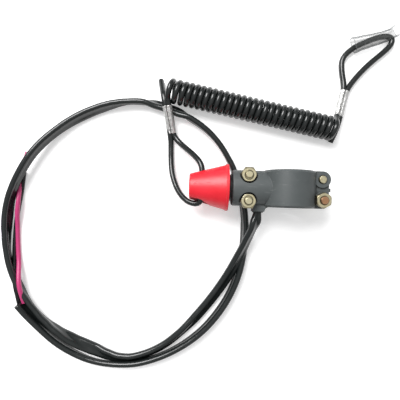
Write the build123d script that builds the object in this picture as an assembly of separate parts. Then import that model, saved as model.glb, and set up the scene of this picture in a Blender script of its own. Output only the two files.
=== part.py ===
from build123d import *
import math
import os

# Engine kill switch for a handlebar, with a pull-off cap and a coiled lanyard.
# Millimetres. The origin is the middle of the handlebar seat, +Y runs along the bar,
# +X points to the clamp's ear and +Z up out of the parting plane. The switch lies on
# its side of the clamp, on a surface that is one arch radius below the origin.

# Clamp
BAR_R = 11.1
ARCH_WALL = 2.7
ARCH_R = BAR_R + ARCH_WALL
CLAMP_WIDTH = 18.9
ARCH_CHAMFER = 1.0
FLOOR = -ARCH_R

# Barrel. Its length is what stands in line there: half the seat, the chamber and the bolts
BARREL_R = 9.25
BARREL_BOLT_SPAN = 10.6
BARREL_ROUND = 1.0

# Fasteners, M4
SCREW_R = 2.0
SCREW_FIT = 0.15
THREAD_FIT = 0.03
TIP_CHAMFER = 0.4
HEAD_R = 3.6
HEAD_H = 2.6
HEAD_ROUND = 0.8
RECESS_LENGTH = 4.2
RECESS_WIDTH = 0.9
RECESS_DEPTH = 1.3
NUT_FLATS = 7.0
NUT_H = 3.2
NUT_CHAMFER = 0.45
BARREL_BOLT_INSET = 8.0
BARREL_BOLT_Y = 6.75
BARREL_SEAT_Z = 5.3
BARREL_SEAT_R = 4.5
BARREL_TIP_Z = 9.6

# Ear
EAR_BOLT_WALL = 1.85
EAR_BOLT_Y = 5.2
EAR_BOSS_R = 4.15
EAR_BOSS_TOP = 7.0
EAR_SEAT_R = 4.3
EAR_WEB_TOP = 5.8
EAR_WEB_OVER = 3.7
EAR_CORNER_R = 3.0
EAR_GAP = 0.6
EAR_NUT_TURN = 30.0
EAR_TIP_Z = 11.2
LOOSE_TIP_Z = 7.9
GATE_R = 0.9
GATE_LENGTH = 1.0

# Inside the barrel
SPRING_BORE_R = 4.0
CHAMBER_R = 6.2
CHAMBER_LENGTH = 6.6
CHAMBER_WALL = 1.5
PLAY = 0.1
SEAT_FIT = 0.05
CARRIER_THICK = 1.0
PAD_THICK = 0.6
PAD_INNER_R = 3.0
PAD_GAP = 1.0
BRIDGE_R = 4.6
BRIDGE_THICK = 0.7
CLIP_R = 2.6
CLIP_THICK = 0.5
CLIP_GAP = 1.5

# Neck and plunger
NECK_R = 6.8
NECK_LENGTH = 7.0
NECK_CHAMFER = 0.6
SPIGOT_LENGTH = 2.0
SPIGOT_BORE_R = 3.15
PLUNGER_R = 2.0
PLUNGER_TAIL_R = 1.5
PLUNGER_PROUD = 1.1
PLUNGER_TRAVEL = 3.0
PLUNGER_ROUND = 0.5
SHOULDER_R = 3.0
SHOULDER_THICK = 1.0
GUIDE_FIT = 0.06
SPRING_WIRE_R = 0.3
SPRING_FIT = 0.25
SPRING_TURNS = 5

# Pull cap
CAP_GAP = 1.8
CAP_LENGTH = 20.0
CAP_SMALL_R = 6.7
CAP_BIG_R = 12.1
CAP_RIM = 1.3
CAP_RIM_STEP = 0.4
CAP_WALL = 1.7
CAP_SLEEVE_WALL = 1.6
CAP_TIP_ROUND = 0.9
CAP_FIT = 0.08
CORD_HOLE_INSET = 6.5
CORD_HOLE_FIT = 0.35
NOTCH_FLOOR = -2.0
NOTCH_DEPTH = 1.5
NOTCH_SLOPE = 1.0
NOTCH_RISE = 0.6
NOTCH_LIP = 2.0
NOTCH_REACH = 5.1

# Cable outlet
OUTLET_INSET = 3.2
OUTLET_HALF = 2.9
OUTLET_FLARE_R = 2.4
OUTLET_HEIGHT = 3.6
GLAND_R = 3.2
GLAND_FLANGE_R = 2.9
GLAND_LIP = 0.5
CABLE_R = 2.0
CABLE_GRIP = 3.0
CABLE_STRAIGHT = 6.6
WIRE_R = 1.2
CORE_R = 0.6
CORE_BEND_R = 1.3
CORE_Y = -5.4
CORE_Z = 0.95

# Lanyard
CORD_R = 1.35
CRIMP_LENGTH = 15.2
CRIMP_WIDTH = 5.9
CRIMP_THICK = 3.2
COIL_R = 6.5
COIL_ROUND = 1.0
COIL_ENDS = ((-61.9, 51.3, FLOOR + COIL_R), (23.2, 34.0, FLOOR + COIL_R))
SLEEVE_WIDTH = 7.8
SLEEVE_THICK = 4.2
SLEEVE_WALL = 0.4
SLEEVE_ENDS = ((36.2, 81.2, FLOOR + SLEEVE_THICK / 2), (54.4, 86.7, FLOOR + SLEEVE_THICK / 2))

# Places worked out from the sizes above
EAR_BOLT_X = BAR_R + EAR_BOLT_WALL + SCREW_R + SCREW_FIT
EAR_END = EAR_BOLT_X + EAR_WEB_OVER
CHAMBER_END = -(BAR_R + CHAMBER_WALL)
CHAMBER_START = CHAMBER_END - CHAMBER_LENGTH
BARREL_END = CHAMBER_START - BARREL_BOLT_SPAN
BARREL_BOLT_X = BARREL_END + BARREL_BOLT_INSET
CARRIER_END = CHAMBER_START + CARRIER_THICK
PAD_END = CARRIER_END + PAD_THICK
BRIDGE_START = PAD_END + PLUNGER_TRAVEL + PLAY
BRIDGE_END = BRIDGE_START + BRIDGE_THICK
CLIP_END = BRIDGE_END + CLIP_THICK
NECK_TIP = BARREL_END - NECK_LENGTH
PLUNGER_TIP = NECK_TIP - PLUNGER_PROUD
SHOULDER_START = BARREL_END + SPIGOT_LENGTH - PLAY
STOP_X = SHOULDER_START - PLUNGER_TRAVEL - PLAY
SHOULDER_END = SHOULDER_START + SHOULDER_THICK
CAP_MOUTH = BARREL_END - CAP_GAP
CAP_TIP = CAP_MOUTH - CAP_LENGTH
CAP_FLOOR = PLUNGER_TIP - PLAY
CORD_HOLE_X = CAP_TIP + CORD_HOLE_INSET
OUTLET_X = CHAMBER_END - OUTLET_INSET
OUTLET_END = -CLAMP_WIDTH / 2 - OUTLET_FLARE_R
CABLE_START = OUTLET_END + CABLE_GRIP
CABLE_BEND_Y = CABLE_START - CABLE_STRAIGHT

# The strands through the two crimps, there and back, as (x, y, height above the surface)
CAP_CRIMP_THERE = [(-67.3, 46.3, 7.2), (-64.0, 27.0, 1.7)]
CAP_CRIMP_BACK = [(-61.2, 27.5, 1.7), (-64.5, 46.8, 7.2)]
END_CRIMP_THERE = [(26.9, 39.4, 1.6), (31.7, 58.4, 1.6)]
END_CRIMP_BACK = [(34.4, 57.7, 1.6), (29.4, 38.1, 1.6)]

# Routes of the cable, the wires and the lanyard's cord, as (x, y, height above the surface)
CABLE_ROUTE = [
    (OUTLET_X, CABLE_START, -FLOOR),
    (OUTLET_X, CABLE_BEND_Y, -FLOOR),
    (-17.4, -22.4, 10.2),
    (-20.9, -30.3, 7.1),
    (-25.0, -39.0, 5.6),
    (-30.6, -50.2, 2.8),
    (-38.6, -62.6, 2.0),
    (-50.6, -76.6, 2.0),
    (-67.0, -88.6, 2.0),
    (-86.3, -94.4, 2.0),
    (-104.0, -90.4, 2.0),
    (-120.4, -82.4, 2.0),
    (-135.0, -71.4, 2.0),
    (-145.4, -57.7, 2.0),
    (-151.0, -42.0, 2.0),
    (-152.4, -26.0, 2.0),
    (-151.3, -12.6, 3.4),
    (-148.0, -2.0, 4.9),
    (-143.7, 8.6, 5.0),
    (-138.4, 18.2, 4.6),
    (-130.0, 27.0, 2.8),
    (-117.0, 35.4, 2.0),
    (-101.0, 43.0, 2.0),
    (-84.4, 46.4, 2.0),
    (-67.8, 43.8, 2.0),
    (-52.6, 38.1, 2.0),
    (-39.0, 28.4, 2.0),
    (-29.8, 14.0, 2.0),
    (-23.6, -1.6, 2.0),
    (-20.4, -17.2, 2.0),
    (-20.2, -33.4, 2.0),
    (-24.2, -49.4, 2.0),
    (-32.4, -65.0, 2.0),
    (-45.6, -80.0, 2.0),
    (-62.8, -91.6, 2.0),
    (-82.0, -98.2, 2.0),
    (-101.6, -97.2, 2.0),
    (-120.4, -89.4, 2.0),
    (-134.5, -77.5, 2.0),
    (-140.5, -71.2, 3.0),
    (-143.5, -67.0, 3.9),
]
PINK_ROUTE = [
    (-142.6, -66.9, 4.4),
    (-141.9, -61.2, 5.5),
    (-142.4, -55.6, 5.8),
    (-144.0, -49.5, 4.2),
    (-145.8, -41.7, 1.6),
    (-146.3, -31.2, 1.2),
    (-146.4, -21.1, 3.0),
    (-145.3, -13.3, 4.5),
    (-144.9, -7.8, 3.7),
    (-145.0, 0.0, 1.2),
    (-143.6, 9.5, 1.2),
    (-141.5, 19.2, 1.2),
]
BLACK_ROUTE = [
    (-145.0, -68.0, 3.4),
    (-145.1, -61.6, 5.0),
    (-145.0, -55.7, 5.6),
    (-146.8, -49.5, 4.0),
    (-148.5, -41.8, 1.4),
    (-149.0, -31.3, 1.2),
    (-148.8, -21.8, 1.2),
    (-146.6, -14.6, 1.2),
    (-143.6, -7.6, 1.2),
    (-141.6, 0.6, 1.2),
    (-140.4, 8.6, 1.2),
]
# From the first cut tail, through the crimp and the cap, back through the crimp to the coil
CAP_LOOP_ROUTE = [
    (-69.5, 59.2, 1.5),
    (-68.4, 52.9, 3.8),
    *CAP_CRIMP_THERE,
    (-63.0, 21.4, 1.4),
    (-62.6, 15.4, 1.6),
    (-62.0, 8.6, 2.8),
    (-60.0, 1.9, 5.2),
    (CORD_HOLE_X - 11.5, -4.3, 8.6),
    (CORD_HOLE_X - 6.3, -8.8, 12.2),
    (CORD_HOLE_X, -8.9, -FLOOR),
    (CORD_HOLE_X, 0.4, 0.2 - FLOOR),
    (CORD_HOLE_X, 9.8, -FLOOR),
    (CORD_HOLE_X - 1.5, 13.2, 12.5),
    (CORD_HOLE_X - 4.4, 16.6, 9.9),
    (CORD_HOLE_X - 8.3, 20.2, 6.5),
    (-58.0, 24.2, 3.1),
    *CAP_CRIMP_BACK,
    (-64.0, 49.6, 7.6),
    (-62.2, 51.2, 7.6),
    (-60.2, 51.6, 7.4),
]
# From the coil through the second crimp, round the end loop and back to the other cut tail
END_LOOP_ROUTE = [
    (21.6, 35.0, 3.5),
    (25.6, 35.4, 2.7),
    *END_CRIMP_THERE,
    (30.6, 67.0, 1.4),
    (31.2, 74.6, 1.5),
    (36.0, 79.9, 1.9),
    (43.4, 83.6, 2.1),
    (50.4, 86.3, 2.1),
    (55.6, 85.9, 2.1),
    (57.3, 83.8, 1.9),
    (57.1, 81.1, 1.6),
    (53.8, 77.9, 1.4),
    (48.0, 73.4, 1.4),
    (41.1, 66.8, 1.4),
    *END_CRIMP_BACK,
    (28.4, 32.6, 1.4),
    (26.6, 27.1, 1.4),
]

# How far cutters reach past what they cut
NUDGE = 1.0
# The share of a route's run that the arc at one corner may take
CORNER_SHARE = 0.45


def rod(start, end, radius):
    """A cylinder along X between two places on the barrel's axis."""
    plane = Plane(origin=(start, 0, 0), x_dir=(0, 1, 0), z_dir=(1, 0, 0))
    return extrude(plane * Circle(radius), end - start)


def post(x, y, low, high, radius):
    """A vertical cylinder between two heights."""
    return Pos(x, y, low) * Cylinder(radius, high - low, align=(Align.CENTER, Align.CENTER, Align.MIN))


def block(low, high):
    """A box between two corners."""
    size = [b - a for a, b in zip(low, high)]
    return Pos(*low) * Box(*size, align=(Align.MIN, Align.MIN, Align.MIN))


def turned(profile):
    """A solid turned about the barrel's axis, from (x, radius) corners."""
    face = make_face(Polyline(*[(x, r, 0) for x, r in profile], close=True))
    return revolve(face, Axis.X)


def barrel_bolts():
    return [(BARREL_BOLT_X, side * BARREL_BOLT_Y) for side in (-1, 1)]


def ear_bolts():
    return [(EAR_BOLT_X, side * EAR_BOLT_Y) for side in (-1, 1)]


def clamp_arch():
    """The ring round the bar, its rims chamfered."""
    ring = Rot(X=90) * Cylinder(ARCH_R, CLAMP_WIDTH)
    return chamfer(ring.edges().filter_by(GeomType.CIRCLE), ARCH_CHAMFER)


def barrel_blank():
    """The round barrel, its free end rounded over."""
    blank = rod(BARREL_END, -BAR_R / 2, BARREL_R)
    rim = blank.edges().filter_by(GeomType.CIRCLE).sort_by(Axis.X)[0]
    return fillet(rim, BARREL_ROUND)


def ear_blank():
    """The web and the two round bosses that the ear's screws go through."""
    half = CLAMP_WIDTH / 2
    web = block((BAR_R / 2, -half, -EAR_WEB_TOP), (EAR_END, half, EAR_WEB_TOP))
    corners = web.edges().filter_by(Axis.Z).group_by(Axis.X)[-1]
    web = fillet(corners, EAR_CORNER_R)
    for x, y in ear_bolts():
        web += post(x, y, -EAR_BOSS_TOP, EAR_BOSS_TOP, EAR_BOSS_R)
    return web


def gate_stub():
    """The stub that the moulding gate left on the ear."""
    middle = EAR_WEB_TOP - GATE_R - EAR_GAP
    plane = Plane(origin=(EAR_END - NUDGE, 0, middle), x_dir=(0, 1, 0), z_dir=(1, 0, 0))
    return extrude(plane * Circle(GATE_R), GATE_LENGTH + NUDGE)


def outlet_blank():
    """The flared lug that the cable comes out of, blended into the clamp's rim."""
    left, right = OUTLET_X - OUTLET_HALF, OUTLET_X + OUTLET_HALF
    rim, root = -CLAMP_WIDTH / 2, -BARREL_R / 2
    middle = Vector(right + OUTLET_FLARE_R, OUTLET_END)
    bend = middle + Vector(-1, 1).normalized() * OUTLET_FLARE_R
    outline = Polyline(
        (right + OUTLET_FLARE_R, rim), (right + OUTLET_FLARE_R, root), (left, root), (left, OUTLET_END),
        (right, OUTLET_END),
    ) + ThreePointArc((right, OUTLET_END), (bend.X, bend.Y), (right + OUTLET_FLARE_R, rim))
    return Pos(Z=-OUTLET_HEIGHT) * extrude(make_face(outline), 2 * OUTLET_HEIGHT)


def housing_blank():
    """Both halves in one, with every bore and pocket."""
    body = clamp_arch() + barrel_blank() + ear_blank() + outlet_blank()
    body -= Rot(X=90) * Cylinder(BAR_R, CLAMP_WIDTH + 2 * NUDGE)
    body -= rod(BARREL_END - NUDGE, CHAMBER_START + NUDGE, SPRING_BORE_R)
    body -= rod(CHAMBER_START, CHAMBER_END, CHAMBER_R)
    body -= gland_bore(GLAND_R + SEAT_FIT)
    for x, y in barrel_bolts():
        body -= post(x, y, -ARCH_R, ARCH_R, SCREW_R + SCREW_FIT)
        body -= post(x, y, BARREL_SEAT_Z, ARCH_R, BARREL_SEAT_R)
        body -= post(x, y, -ARCH_R, -BARREL_SEAT_Z, BARREL_SEAT_R)
    for x, y in ear_bolts():
        body -= post(x, y, -ARCH_R, ARCH_R, SCREW_R + SCREW_FIT)
        body -= post(x, y, EAR_BOSS_TOP, ARCH_R, EAR_SEAT_R)
        body -= post(x, y, -ARCH_R, -EAR_BOSS_TOP, EAR_SEAT_R)
    half = CLAMP_WIDTH
    body -= block((BAR_R - NUDGE, -half, -EAR_GAP / 2), (EAR_END + NUDGE, half, EAR_GAP / 2))
    return body


def half_housing(blank, side):
    """The half above the parting plane for side 1, below it for side -1."""
    reach = NUDGE - BARREL_END
    low, high = sorted((0, side * reach))
    return blank & block((-reach, -reach, low), (reach, reach, high))


def screw(x, y, tip, seat):
    """A pan head screw with a cross recess, its head under seat and its tip at tip."""
    shank = post(x, y, seat, tip, SCREW_R)
    shank = chamfer(shank.edges().group_by(Axis.Z)[-1], TIP_CHAMFER)
    head = post(x, y, seat - HEAD_H, seat, HEAD_R)
    head = fillet(head.edges().group_by(Axis.Z)[0], HEAD_ROUND)
    cross = Box(RECESS_LENGTH, RECESS_WIDTH, 2 * RECESS_DEPTH)
    cross += Box(RECESS_WIDTH, RECESS_LENGTH, 2 * RECESS_DEPTH)
    return shank + head - Pos(x, y, seat - HEAD_H) * cross


def nut(x, y, seat, turn):
    """A hex nut with its corners chamfered, standing on seat."""
    prism = extrude(RegularPolygon(NUT_FLATS / 2, 6, major_radius=False), NUT_H)
    blank = Cylinder(NUT_FLATS / math.sqrt(3), NUT_H, align=(Align.CENTER, Align.CENTER, Align.MIN))
    blank = chamfer(blank.edges().filter_by(GeomType.CIRCLE), NUT_CHAMFER)
    blank -= post(0, 0, -NUDGE, NUT_H + NUDGE, SCREW_R + THREAD_FIT)
    return Pos(x, y, seat) * Rot(Z=turn) * (prism & blank)


def barrel_screws():
    return Compound([screw(x, y, BARREL_TIP_Z, -BARREL_SEAT_Z) for x, y in barrel_bolts()])


def barrel_nuts():
    return Compound([nut(x, y, BARREL_SEAT_Z, 0) for x, y in barrel_bolts()])


def ear_screw_tight():
    """The ear's screw that holds its nut."""
    x, y = ear_bolts()[0]
    return screw(x, y, EAR_TIP_Z, -EAR_BOSS_TOP)


def ear_screw_loose():
    """The ear's screw that has lost its nut, and has slipped down on its head."""
    x, y = ear_bolts()[1]
    slip = EAR_TIP_Z - LOOSE_TIP_Z
    return screw(x, y, LOOSE_TIP_Z, -EAR_BOSS_TOP - slip)


def ear_nut():
    x, y = ear_bolts()[0]
    return nut(x, y, EAR_BOSS_TOP, EAR_NUT_TURN)


def plunger_bushing():
    """The neck that the cap sits on, with its guide bore and a counterbore for the shoulder."""
    return turned([
        (NECK_TIP, PLUNGER_R + GUIDE_FIT), (NECK_TIP, NECK_R - NECK_CHAMFER),
        (NECK_TIP + NECK_CHAMFER, NECK_R), (BARREL_END, NECK_R), (BARREL_END, SPRING_BORE_R - SEAT_FIT),
        (BARREL_END + SPIGOT_LENGTH, SPRING_BORE_R - SEAT_FIT), (BARREL_END + SPIGOT_LENGTH, SPIGOT_BORE_R),
        (STOP_X, SPIGOT_BORE_R), (STOP_X, PLUNGER_R + GUIDE_FIT),
    ])


def plunger():
    """The stepped rod: tip through the neck, shoulder for the spring, tail through the contacts."""
    return turned([
        (PLUNGER_TIP, 0), (PLUNGER_TIP, PLUNGER_R - PLUNGER_ROUND), (PLUNGER_TIP + PLUNGER_ROUND, PLUNGER_R),
        (SHOULDER_START, PLUNGER_R), (SHOULDER_START, SHOULDER_R), (SHOULDER_END, SHOULDER_R),
        (SHOULDER_END, PLUNGER_TAIL_R), (CLIP_END + THREAD_FIT, PLUNGER_TAIL_R), (CLIP_END + THREAD_FIT, 0),
    ])


def return_spring():
    """The spring between the plunger's shoulder and the contact carrier."""
    length = CHAMBER_START - SHOULDER_END - 2 * (SPRING_WIRE_R + SEAT_FIT)
    middle_r = PLUNGER_TAIL_R + SPRING_FIT + SPRING_WIRE_R
    line = Helix(pitch=length / SPRING_TURNS, height=length, radius=middle_r)
    section = Plane(origin=line @ 0, z_dir=line % 0) * Circle(SPRING_WIRE_R)
    coil = sweep(section, path=line, is_frenet=True)
    return Pos(X=SHOULDER_END + SPRING_WIRE_R + SEAT_FIT) * Rot(Y=90) * coil


def contact_carrier():
    """The insulating disc at the end of the chamber that the fixed contacts sit on."""
    disc = rod(CHAMBER_START, CARRIER_END, CHAMBER_R - SEAT_FIT)
    return disc - rod(CHAMBER_START - NUDGE, CARRIER_END + NUDGE, PLUNGER_TAIL_R + GUIDE_FIT)


def contact(side):
    """One fixed contact, half a ring above the parting plane for side 1, below it for side -1."""
    ring = rod(CARRIER_END, PAD_END, CHAMBER_R - 2 * SEAT_FIT)
    ring -= rod(CARRIER_END - NUDGE, PAD_END + NUDGE, PAD_INNER_R)
    low, high = sorted((side * PAD_GAP / 2, side * CHAMBER_R))
    return ring & block((CARRIER_END, -CHAMBER_R, low), (PAD_END, CHAMBER_R, high))


def contact_bridge():
    """The brass disc on the plunger that joins the two fixed contacts when the cap is off."""
    disc = rod(BRIDGE_START, BRIDGE_END, BRIDGE_R)
    return disc - rod(BRIDGE_START - NUDGE, BRIDGE_END + NUDGE, PLUNGER_TAIL_R + THREAD_FIT)


def plunger_clip():
    """The open clip that keeps the bridge on the plunger."""
    ring = rod(BRIDGE_END, CLIP_END, CLIP_R)
    ring -= rod(BRIDGE_END - NUDGE, CLIP_END + NUDGE, PLUNGER_TAIL_R + THREAD_FIT)
    low, high = (BRIDGE_END - NUDGE, -CLIP_GAP / 2, 0), (CLIP_END + NUDGE, CLIP_GAP / 2, CLIP_R + NUDGE)
    return ring - block(low, high)


def gland_bore(radius):
    """The space of a round plug along the outlet, from the chamber to the outlet's face."""
    plane = Plane(origin=(OUTLET_X, OUTLET_END, 0), x_dir=(1, 0, 0), z_dir=(0, 1, 0))
    return extrude(plane * Circle(radius), -OUTLET_END - CHAMBER_R + NUDGE)


def cable_gland():
    """The rubber plug round the cable, with a lip outside the outlet."""
    plane = Plane(origin=(OUTLET_X, OUTLET_END, 0), x_dir=(1, 0, 0), z_dir=(0, 1, 0))
    depth = CABLE_START - OUTLET_END + GLAND_LIP
    plug = extrude(plane * Circle(GLAND_R), depth)
    lip = extrude(plane * Circle(GLAND_FLANGE_R), -GLAND_LIP)
    bore = extrude(plane * Circle(CABLE_R), depth + NUDGE)
    bore += extrude(plane * Circle(CABLE_R + SEAT_FIT), -NUDGE)
    return plug + lip - bore


def core(side):
    """A bare core from the cable's inner end to its contact."""
    line = FilletPolyline(
        (OUTLET_X, CABLE_START, side * CORE_Z), (OUTLET_X, CORE_Y, side * CORE_Z),
        (PAD_END, CORE_Y, side * CORE_Z), radius=CORE_BEND_R,
    )
    return swept(line, CORE_R)


def pull_cap():
    """The hollow red cone, with the cord's hole across it and the notch that the cord lies in."""
    slope = (CAP_BIG_R - CAP_RIM_STEP - CAP_SMALL_R) / (CAP_LENGTH - CAP_RIM)
    rim_start = CAP_MOUTH - CAP_RIM
    bore_r = NECK_R + CAP_FIT
    sleeve_r = bore_r + CAP_SLEEVE_WALL
    pocket_end = CAP_TIP + (sleeve_r + CAP_WALL + CAP_FIT - CAP_SMALL_R) / slope
    cap = turned([
        (CAP_TIP, 0), (CAP_TIP, CAP_SMALL_R), (rim_start, CAP_BIG_R - CAP_RIM_STEP),
        (rim_start, CAP_BIG_R), (CAP_MOUTH, CAP_BIG_R), (CAP_MOUTH, CAP_BIG_R - CAP_WALL),
        (pocket_end, sleeve_r + CAP_FIT), (pocket_end, sleeve_r), (CAP_MOUTH, sleeve_r),
        (CAP_MOUTH, bore_r), (CAP_FLOOR, bore_r), (CAP_FLOOR, 0),
    ])
    tip = cap.edges().filter_by(GeomType.CIRCLE).sort_by(Axis.X)[0]
    cap = fillet(tip, CAP_TIP_ROUND)
    hole_r = CORD_R + CORD_HOLE_FIT
    cap -= Pos(X=CORD_HOLE_X) * Rot(X=90) * Cylinder(hole_r, 2 * (CAP_BIG_R + NUDGE))
    deep = NOTCH_DEPTH - CAP_SMALL_R
    notch = make_face(Polyline(
        (CAP_TIP - NUDGE, deep), (CORD_HOLE_X - hole_r, deep - NOTCH_SLOPE),
        (CORD_HOLE_X, deep - NOTCH_SLOPE - NOTCH_RISE), (CORD_HOLE_X + NOTCH_REACH, NOTCH_LIP - CAP_BIG_R),
        (CORD_HOLE_X + NOTCH_REACH, -CAP_BIG_R - NUDGE), (CAP_TIP - NUDGE, -CAP_BIG_R - NUDGE), close=True,
    ))
    return cap - Pos(Z=NOTCH_FLOOR) * extrude(notch, 2 * CAP_BIG_R)


def placed(route):
    """A route's points, from (x, y, height above the surface)."""
    return [Vector(x, y, FLOOR + height) for x, y, height in route]


def corner_radii(points):
    """For each corner of a line of points, the largest arc that its two runs allow."""
    radii = []
    for before, at, after in zip(points, points[1:], points[2:]):
        turn = (at - before).get_angle(after - at)
        shorter = min((at - before).length, (after - at).length)
        radii.append(CORNER_SHARE * shorter / math.tan(math.radians(turn) / 2))
    return radii


def swept(line, radius):
    """A round tube along a line."""
    section = Plane(origin=line @ 0, z_dir=line % 0) * Circle(radius)
    return sweep(section, path=line)


def tube(name, route, radius):
    """A cord's solid along its route, with its length and radii printed."""
    points = placed(route)
    radii = corner_radii(points)
    line = FilletPolyline(*points, radius=radii)
    solid = swept(line, radius)
    share = solid.volume / (math.pi * radius**2 * line.length)
    print(name, "length", round(line.length, 1), "volume share", round(share, 4),
          "radii", [round(r, 1) for r in radii])
    return solid


def crimp(there, back):
    """The pressed metal sleeve round two strands of the cord, midway along their straight runs."""
    a, b, d, c = placed(there + back)
    start, end = (a + c) * 0.5, (b + d) * 0.5
    along, across = (end - start).normalized(), (c - a).normalized()
    middle = (start + end) * 0.5
    plane = Plane(origin=middle - along * CRIMP_LENGTH / 2, x_dir=across, z_dir=along)
    body = extrude(plane * SlotOverall(CRIMP_WIDTH, CRIMP_THICK), CRIMP_LENGTH)
    for first, last in ((a, b), (c, d)):
        strand = Plane(origin=first, z_dir=last - first)
        body -= extrude(strand * Circle(CORD_R + THREAD_FIT), (last - first).length)
    return body


def lanyard_coil():
    """The outer shape of the coiled cord."""
    start, end = (Vector(*p) for p in COIL_ENDS)
    plane = Plane(origin=start, z_dir=end - start)
    body = extrude(plane * Circle(COIL_R), (end - start).length)
    return fillet(body.edges().filter_by(GeomType.CIRCLE), COIL_ROUND)


def clear_sleeve():
    """The flattened clear tube on the end loop."""
    start, end = (Vector(*p) for p in SLEEVE_ENDS)
    along = end - start
    plane = Plane(origin=start, x_dir=along.cross(Vector(0, 0, 1)), z_dir=along)
    outer = extrude(plane * SlotOverall(SLEEVE_WIDTH, SLEEVE_THICK), along.length)
    bore = SlotOverall(SLEEVE_WIDTH - 2 * SLEEVE_WALL, SLEEVE_THICK - 2 * SLEEVE_WALL)
    return outer - extrude(plane * bore, along.length)


def main():
    os.makedirs("parts", exist_ok=True)
    blank = housing_blank()
    upper = half_housing(blank, 1) + gate_stub()
    parts = {
        "upper_housing": upper,
        "lower_housing": half_housing(blank, -1),
        "barrel_screws": barrel_screws(),
        "barrel_nuts": barrel_nuts(),
        "ear_screw_tight": ear_screw_tight(),
        "ear_screw_loose": ear_screw_loose(),
        "ear_nut": ear_nut(),
        "plunger_bushing": plunger_bushing(),
        "plunger": plunger(),
        "return_spring": return_spring(),
        "contact_carrier": contact_carrier(),
        "contact_pink": contact(1),
        "contact_black": contact(-1),
        "contact_bridge": contact_bridge(),
        "plunger_clip": plunger_clip(),
        "cable_gland": cable_gland(),
        "core_pink": core(1),
        "core_black": core(-1),
        "pull_cap": pull_cap(),
        "cable_sleeve": tube("cable_sleeve", CABLE_ROUTE, CABLE_R),
        "wire_pink": tube("wire_pink", PINK_ROUTE, WIRE_R),
        "wire_black": tube("wire_black", BLACK_ROUTE, WIRE_R),
        "lanyard_cap_loop": tube("lanyard_cap_loop", CAP_LOOP_ROUTE, CORD_R),
        "crimp_cap_end": crimp(CAP_CRIMP_THERE, CAP_CRIMP_BACK),
        "lanyard_coil": lanyard_coil(),
        "crimp_loop_end": crimp(END_CRIMP_THERE, END_CRIMP_BACK),
        "lanyard_end_loop": tube("lanyard_end_loop", END_LOOP_ROUTE, CORD_R),
        "clear_sleeve": clear_sleeve(),
    }
    for name, solid in parts.items():
        export_step(solid, f"parts/{name}.step")


main()
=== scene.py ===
# %% [markdown]
# # An engine kill switch with its coiled lanyard
# A rider clamps this switch on the handlebar and loops the lanyard round a wrist. When the
# rider falls off, the red cap is pulled from its neck and the engine stops. The solids come
# from the CAD model, which is loaded first as a frame that never moves. This file dresses it:
# it lays the cords, shapes what the solids only hint at, and gives every surface a finish.

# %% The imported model
import math

import bmesh
import bpy
from mathutils import Matrix, Vector


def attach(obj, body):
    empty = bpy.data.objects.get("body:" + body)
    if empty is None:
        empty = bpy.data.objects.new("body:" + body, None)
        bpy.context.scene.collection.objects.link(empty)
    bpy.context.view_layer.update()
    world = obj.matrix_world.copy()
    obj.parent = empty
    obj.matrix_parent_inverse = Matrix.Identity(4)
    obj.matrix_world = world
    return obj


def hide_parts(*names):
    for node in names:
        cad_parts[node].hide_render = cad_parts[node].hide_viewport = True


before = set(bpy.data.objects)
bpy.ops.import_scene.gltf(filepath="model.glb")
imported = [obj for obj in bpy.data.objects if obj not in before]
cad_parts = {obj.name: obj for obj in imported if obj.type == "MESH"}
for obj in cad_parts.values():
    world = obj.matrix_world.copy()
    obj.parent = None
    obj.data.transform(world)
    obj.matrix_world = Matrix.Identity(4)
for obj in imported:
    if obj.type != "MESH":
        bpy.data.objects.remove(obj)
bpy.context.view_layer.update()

# %% [markdown]
# ## Lengths
# Blender works in metres and the drawings in millimetres. One factor turns the drawing's
# numbers into Blender's, so that every size below can be read against a ruler.

# %% Millimetres, and the surface that the switch lies on
MM = 0.001
FLOOR = -13.8
AXIS_HEIGHT = -FLOOR
UP = Vector((0, 0, 1))


def place(x, y, height):
    """A point in metres, from millimetres along the floor and above it."""
    return Vector((x, y, FLOOR + height)) * MM


print("floor at", round(FLOOR * MM, 4), "m")

# %% [markdown]
# ## The camera
# The photograph looks straight down at the switch from about 190 mm above the table, turned
# by not quite two degrees. From there a lens of 30.5 mm on a 36 mm sensor sees the 224 mm that
# the square picture shows. It could be fitted by eye, but the clamp's known size gives the
# distance. The camera comes before the pieces, because they are judged through it.

# %% Camera
scene = bpy.context.scene
scene.view_settings.view_transform = "Standard"
CAMERA_AT = (-45.81, -6.89, 176.2)
CAMERA_TURN = 1.8
CAMERA_LENS = 30.54
CAMERA_NEAR = 10
camera_data = bpy.data.cameras.new("photo_camera")
camera_data.lens = CAMERA_LENS
camera_data.clip_start = CAMERA_NEAR * MM
camera = bpy.data.objects.new("photo_camera", camera_data)
camera.location = Vector(CAMERA_AT) * MM
camera.rotation_euler = (0, 0, math.radians(CAMERA_TURN))
scene.collection.objects.link(camera)
scene.camera = camera
print("camera lens", camera_data.lens, "mm")

# %% [markdown]
# ## Wrapping shader sockets
# A finish is a small sum of patterns. Written node by node that sum is hard to read, so one
# class wraps a node's output and lets Python's own + - * add the Math nodes, and a second
# class holds a material and makes every other kind of node in the same way. Colours are
# mixed by a Mix node, since a Math node would turn them grey.

# %% Sockets as values
class Signal:
    """A number or colour that leaves a node of a finish."""

    def __init__(self, finish, socket):
        self.finish, self.socket = finish, socket

    def __add__(self, other):
        return self.finish.maths("ADD", self, other)

    def __radd__(self, other):
        return self.finish.maths("ADD", other, self)

    def __sub__(self, other):
        return self.finish.maths("SUBTRACT", self, other)

    def __rsub__(self, other):
        return self.finish.maths("SUBTRACT", other, self)

    def __mul__(self, other):
        return self.finish.maths("MULTIPLY", self, other)

    def __rmul__(self, other):
        return self.finish.maths("MULTIPLY", other, self)


print("sums of signals add Math nodes")

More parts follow.
